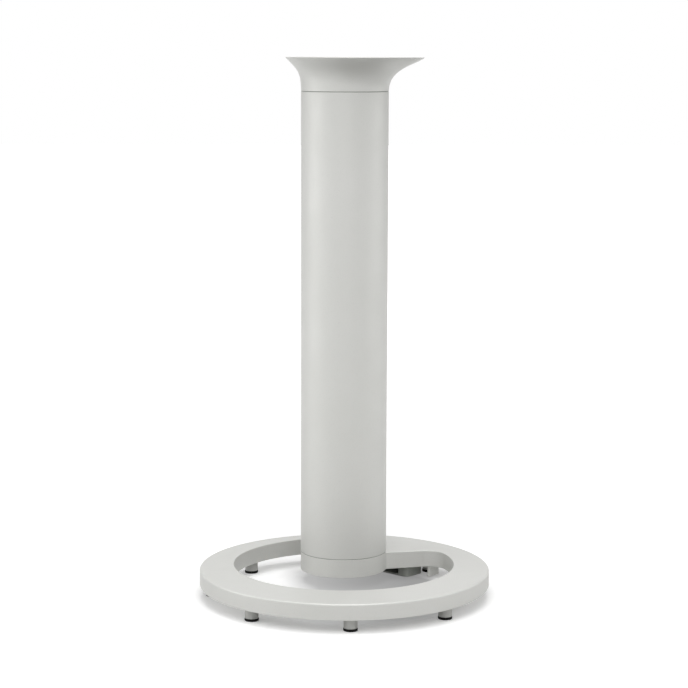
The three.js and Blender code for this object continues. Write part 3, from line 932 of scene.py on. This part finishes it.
def cable_box():
    """An open tray below the fan, with a cable mouth in one end and four screw posts."""
    floor = PLATE_BOTTOM - BOX_HEIGHT
    end = BOX_START + BOX_LENGTH
    w = BOX_WALL
    outer = round_rectangle(BOX_START, end, BOX_FRONT, BOX_BACK, BOX_CORNER)
    inner = round_rectangle(BOX_START + w, end - w, BOX_FRONT + w, BOX_BACK - w, BOX_CORNER - w)
    box = raised("cable_box_fine", outer, floor, PLATE_BOTTOM, 0.8)
    carve(box, "DIFFERENCE", raised("cutter", inner, floor + w, PLATE_BOTTOM + 6, 0.5))
    near = BOX_FRONT + MOUTH_INSET
    through = BOX_START - CUT_PAST, BOX_START + w + CUT_PAST
    mouth = round_rectangle(*through, near, near + MOUTH_WIDTH, w / 2)
    carve(box, "DIFFERENCE", raised("cutter", mouth, floor + w, floor + w + MOUTH_HEIGHT, 0.6))
    for spot in box_spots():
        carve(box, "UNION", drum(POST_RADIUS, floor + w / 2, PLATE_BOTTOM - 0.02, spot))
    for spot in box_spots():
        low, high = floor - CUT_PAST, PLATE_BOTTOM + CUT_PAST
        sunk = floor + SCREW_HEAD_HEIGHT + FIT
        carve(box, "DIFFERENCE", drum(SCREW_RADIUS + FIT, low, high, spot))
        carve(box, "DIFFERENCE", drum(SCREW_HEAD + FIT, low, sunk, spot))
    return on_fan(box)


def cable_clip():
    """A wall with a flange that is screwed to the plate's underside."""
    end = CLIP_START + CLIP_LENGTH
    wall = round_rectangle(CLIP_START, end, CLIP_OFFSET, CLIP_OFFSET + CLIP_WALL, CLIP_NOSE)
    flange = round_rectangle(CLIP_START, end, CLIP_OFFSET, CLIP_OFFSET + CLIP_REACH, CLIP_NOSE)
    clip = raised("cable_clip_fine", wall, PLATE_BOTTOM - CLIP_HEIGHT, PLATE_BOTTOM, 0.4)
    carve(clip, "UNION", raised("cutter", flange, PLATE_BOTTOM - CLIP_FLANGE, PLATE_BOTTOM, 0.3))
    spot = (CLIP_START + CLIP_LENGTH / 2, CLIP_OFFSET + (CLIP_WALL + CLIP_REACH) / 2)
    low, high = PLATE_BOTTOM - 2 * CUT_PAST, PLATE_BOTTOM + CUT_PAST
    carve(clip, "DIFFERENCE", drum(SCREW_RADIUS + FIT, low, high, spot))
    return on_fan(clip)


def small_screw():
    """A cap screw whose head faces down and has a hexagonal socket."""
    head = SCREW_HEAD_HEIGHT
    screw = revolve("small_screw", rounded([
        (0, 0, 0),
        (SCREW_HEAD, 0, 0.5),
        (SCREW_HEAD, head, 0.15),
        (SCREW_RADIUS, head, 0.1),
        (SCREW_RADIUS, SCREW_LENGTH, 0.3),
        (0, SCREW_LENGTH, 0),
    ], closed=False), sides=48)
    return carve(screw, "DIFFERENCE", drum(SOCKET_RADIUS, -1, SOCKET_DEPTH, (0, 0), sides=6))


def small_screws():
    """The box's four screws and the clip's one, each as long as in the CAD part."""
    source = small_screw()
    for i in range(1, 6):
        node = f"box_screw_{i}" if i < 5 else "clip_screw"
        low, high = in_mm(node)
        mesh = source.data.copy()
        shank = (high.z - low.z) / SCREW_LENGTH
        for vertex in mesh.vertices:
            if vertex.co.z > SCREW_HEAD_HEIGHT * MM * 1.2:
                vertex.co.z *= shank
        mesh.transform(Matrix.Translation((0, 0, low.z * MM)))
        screw = set_down(f"{node}_fine", mesh, (low + high) / 2)
        dress(soften(screw, width=0.12, angle=60), STEEL, "steel", node)
    bpy.data.objects.remove(source)


dress(cable_box(), PLASTIC, "grey_plastic", "cable_box")
dress(soften(cable_clip(), width=0.3, angle=60), PAINT, "paint", "cable_clip")
small_screws()


# ---- clamp -------------------------------------------------------------------------------------


def rod_nut(name, node):
    """A hexagonal nut whose corners are turned off at both faces."""
    low, high = in_mm(node)
    at = (low + high) / 2
    corner = (high.x - low.x) / 2
    flat = (high.y - low.y) / 2
    hole = ROD_RADIUS + FIT
    skim, proud, chamfer = 0.01, 0.3, 1.1
    nut = drum(corner, low.z, high.z, at, sides=6)
    nut.name = name
    turned = revolve("cutter", rounded([
        (0, low.z - skim, 0),
        (flat, low.z - skim, 0),
        (corner + proud, low.z + chamfer, 0),
        (corner + proud, high.z - chamfer, 0),
        (flat, high.z + skim, 0),
        (0, high.z + skim, 0),
    ], closed=False), at, sides=72)
    carve(nut, "INTERSECT", turned)
    bore = revolve("cutter", [
        (0, low.z - 1),
        (hole + 1.2, low.z - 1),
        (hole, low.z + 0.6),
        (hole, high.z - 0.6),
        (hole + 1.2, high.z + 1),
        (0, high.z + 1),
    ], at, sides=48)
    return carve(nut, "DIFFERENCE", bore)


def washer(name, node):
    """A flat washer."""
    low, high = in_mm(node)
    at = (low + high) / 2
    radius = (high.x - low.x) / 2
    hole = ROD_RADIUS + FIT
    return revolve(name, rounded([
        (hole, low.z, 0.2),
        (radius, low.z, 0.35),
        (radius, high.z, 0.35),
        (hole, high.z, 0.2),
    ]), at, sides=72)


def tie_rod():
    """The rod, with a cut thread at each end."""
    low, high = in_mm("tie_rod")
    at = (low + high) / 2
    pitch, depth, reach = 1.25, 0.55, 26.0
    sides, rows_per_turn = 48, 6
    chamfer = 0.9

    def ring(z, radius, threaded):
        """A ring of points, which dips where it crosses the thread's groove."""
        points = []
        for i in range(sides):
            a = 2 * math.pi * i / sides
            r = radius
            if threaded:
                phase = (z / pitch - i / sides) % 1.0
                r -= depth * abs(2 * phase - 1)
            points.append((at.x + r * math.cos(a), at.y + r * math.sin(a), z))
        return points

    rows = int(reach / pitch * rows_per_turn)
    lower = [low.z + chamfer + reach * i / rows for i in range(rows + 1)]
    upper = [high.z - chamfer - reach * (rows - i) / rows for i in range(rows + 1)]
    rings = [ring(low.z, 0.0, False), ring(low.z, ROD_RADIUS - chamfer, False)]
    rings += [ring(z, ROD_RADIUS, True) for z in lower]
    rings += [ring(z, ROD_RADIUS, False) for z in (lower[-1] + 1, upper[0] - 1)]
    rings += [ring(z, ROD_RADIUS, True) for z in upper]
    rings += [ring(high.z, ROD_RADIUS - chamfer, False), ring(high.z, 0.0, False)]
    return skin("tie_rod_fine", rings)


for side in ("lower", "upper"):
    nut = rod_nut(f"{side}_nut_fine", f"{side}_rod_nut")
    dress(soften(nut, width=0.15, angle=55), STEEL, "steel", f"{side}_rod_nut")
    dress(washer(f"{side}_washer_fine", f"{side}_rod_washer"), STEEL, "steel", f"{side}_rod_washer")
dress(tie_rod(), STEEL, "steel", "tie_rod")

# The dowels and the screws inside the feet keep their CAD meshes.
for node in frame["nodes"].values():
    if not node.hide_render:
        node.data.materials.clear()
        node.data.materials.append(STEEL)


# ---- studio ------------------------------------------------------------------------------------


FLOOR_SIZE = 24
FLOOR_SEEN = (1.0, 1.0, 1.0)
# The floor's own light grows from this share near the stand to 1 between these distances.
FLOOR_LIFT = 0.20
OPEN_FLOOR = (0.45, 1.6)

# The shade in the plate's opening: its colour, its round end, its left end, and its own light,
# which falls to the right.
SHADE_SEEN = (0.12, 0.12, 0.12)
SHADE_ROUND_END = (0.125, 0.155)
SHADE_LEFT_END = (-0.078, -0.030)
SHADE_LIFT = (0.45, 0.25)
SHADE_LIFT_FALLS = (-0.04, 0.08)

# The floor's colour for the light that it throws back at the stand, near it and farther off.
BOUNCE_NEAR = (0.55, 0.55, 0.54)
BOUNCE_FAR = (0.22, 0.22, 0.22)
BOUNCE_FALLS = (0.35, 1.0)

WORLD_STRENGTH = 0.42
AIM = Vector((0, 0.03, 0.30))
# Name, azimuth and elevation in degrees, distance, size and watts.
LAMPS = (
    ("top", 0, 88, 2.2, 1.6, 22.5),
    ("left", -90, 14, 2.4, 1.8, 13.3),
    ("left_front", -60, 14, 2.4, 1.8, 3.6),
    ("front", 0, 42, 2.4, 1.8, 21.7),
    ("right_front", 65, 14, 2.4, 1.8, 1.5),
    ("right", 95, 14, 2.4, 1.8, 8.2),
)

CAMERA_LENS = 109.475
CAMERA_SPOT = (-0.1134, -2.4722, 0.6559)
# Heading, pitch and roll in degrees.
CAMERA_TURN = (2.596, 8.018, -0.193)


def sees_background(nodes, links):
    """One for rays from the camera, mirrored rays and rays through glass, and zero for others."""
    path = nodes.new("ShaderNodeLightPath")
    total = path.outputs["Is Camera Ray"]
    for kind in ("Is Glossy Ray", "Is Transmission Ray"):
        add = nodes.new("ShaderNodeMath")
        add.operation = "ADD"
        add.use_clamp = True
        links.new(total, add.inputs[0])
        links.new(path.outputs[kind], add.inputs[1])
        total = add.outputs["Value"]
    return total


def floor():
    """A pale floor that the camera sees as white, apart from the shade under the stand.

    The shade in the plate's opening is deepest on the right, beside the column.
    """
    bpy.ops.mesh.primitive_plane_add(size=FLOOR_SIZE)
    plane = bpy.context.object
    plane.name = "floor"
    f = Finish("floor")
    f.set(Roughness=0.9, Specular_IOR_Level=0.0, Emission_Color=(1, 1, 1, 1))
    length = f.nodes.new("ShaderNodeVectorMath")
    length.operation = "LENGTH"
    f.links.new(f.place, length.inputs[0])
    away = length.outputs["Value"]
    split = f.nodes.new("ShaderNodeSeparateXYZ")
    f.links.new(f.place, split.inputs[0])
    across = split.outputs["X"]
    within = f.spread(away, 1, 0, *SHADE_ROUND_END)
    shade = f.times(within, f.spread(across, 0, 1, *SHADE_LEFT_END))
    seen = f.blend(shade, FLOOR_SEEN, SHADE_SEEN)
    bounce = f.blend(f.spread(away, 0, 1, *BOUNCE_FALLS), BOUNCE_NEAR, BOUNCE_FAR)
    path = sees_background(f.nodes, f.links)
    colour = f.blend(path, bounce, seen)
    open_lift = f.spread(away, FLOOR_LIFT, 1.0, *OPEN_FLOOR)
    shade_lift = f.spread(across, *SHADE_LIFT, *SHADE_LIFT_FALLS)
    lift = f.fade(shade, open_lift, shade_lift)
    glow = f.times(path, lift)
    plane.data.materials.append(f.wire(Base_Color=colour, Emission_Strength=glow))


def lamp(name, azimuth, elevation, distance, size, watts):
    """A square soft light. Azimuth 0 is in front of the stand, and grows to the right."""
    data = bpy.data.lights.new(name, "AREA")
    data.shape = "SQUARE"
    data.size = size
    data.energy = watts
    obj = bpy.data.objects.new(name, data)
    bpy.context.scene.collection.objects.link(obj)
    a, e = math.radians(azimuth), math.radians(elevation)
    back = Vector((math.sin(a) * math.cos(e), -math.cos(a) * math.cos(e), math.sin(e)))
    obj.location = AIM + back * distance
    obj.rotation_mode = "QUATERNION"
    obj.rotation_quaternion = (-back).to_track_quat("-Z", "Y")


def world(strength):
    """A plain grey surround that the camera sees as white."""
    surround = bpy.data.worlds.new("surround")
    bpy.context.scene.world = surround
    surround.use_nodes = True
    nodes, links = surround.node_tree.nodes, surround.node_tree.links
    nodes.clear()
    path = sees_background(nodes, links)
    light = nodes.new("ShaderNodeBackground")
    light.inputs["Strength"].default_value = strength
    seen = nodes.new("ShaderNodeBackground")
    seen.inputs["Color"].default_value = (1, 1, 1, 1)
    seen.inputs["Strength"].default_value = 1.0
    mix = nodes.new("ShaderNodeMixShader")
    out = nodes.new("ShaderNodeOutputWorld")
    links.new(path, mix.inputs[0])
    links.new(light.outputs[0], mix.inputs[1])
    links.new(seen.outputs[0], mix.inputs[2])
    links.new(mix.outputs[0], out.inputs["Surface"])


def camera():
    """The photograph's own viewpoint."""
    data = bpy.data.cameras.new("camera")
    data.sensor_width = 36
    data.lens = CAMERA_LENS
    data.clip_start, data.clip_end = 0.05, 60
    obj = bpy.data.objects.new("camera", data)
    bpy.context.scene.collection.objects.link(obj)
    heading, pitch, roll = (math.radians(v) for v in CAMERA_TURN)
    look = Vector((
        math.sin(heading) * math.cos(pitch),
        math.cos(heading) * math.cos(pitch),
        -math.sin(pitch),
    ))
    level = Vector((math.cos(heading), -math.sin(heading), 0))
    down = look.cross(level)
    right = level * math.cos(roll) + down * math.sin(roll)
    under = down * math.cos(roll) - level * math.sin(roll)
    turn = Matrix((right, -under, -look)).transposed()
    obj.matrix_world = Matrix.Translation(CAMERA_SPOT) @ turn.to_4x4()
    bpy.context.scene.camera = obj


floor()
world(WORLD_STRENGTH)
for values in LAMPS:
    lamp(*values)
camera()
bpy.context.scene.view_settings.view_transform = "Standard"
